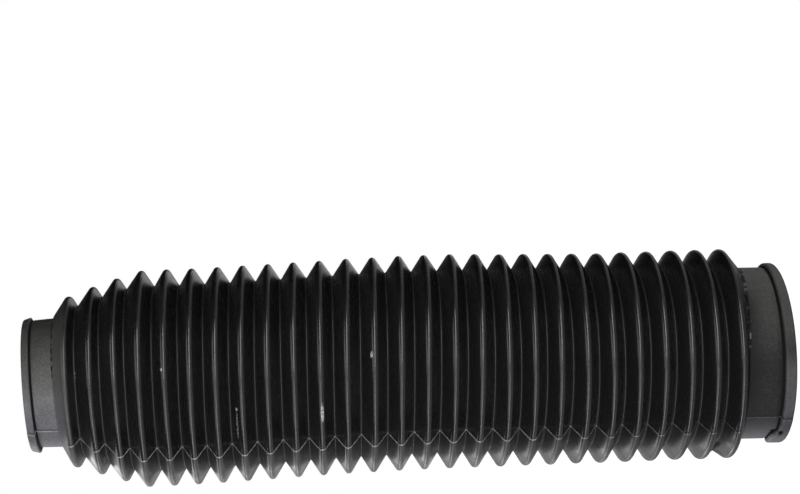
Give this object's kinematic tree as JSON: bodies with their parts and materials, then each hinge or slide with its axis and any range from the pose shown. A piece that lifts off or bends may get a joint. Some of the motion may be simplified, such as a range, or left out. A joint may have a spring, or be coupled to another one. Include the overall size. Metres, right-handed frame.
{
  "type": "fork gaiter",
  "caption": "Ribbed black rubber gaiter for a motorbike fork leg: a bellows with a plain lipped collar at each end, narrow at the top and wide at the bottom.",
  "frame": {"origin": "centre of the large end's face, on the axis", "axes": "+Z along the axis from the large end up to the small end, as the gaiter sits on a fork leg; -Y towards the side that the picture shows"},
  "size_m": [0.072, 0.072, 0.2545],
  "materials": {
    "rubber": "satin moulded, duller and finely speckled on the collars"
  },
  "bodies": {
    "root": {"gaiter": "rubber"}
  },
  "joints": []
}
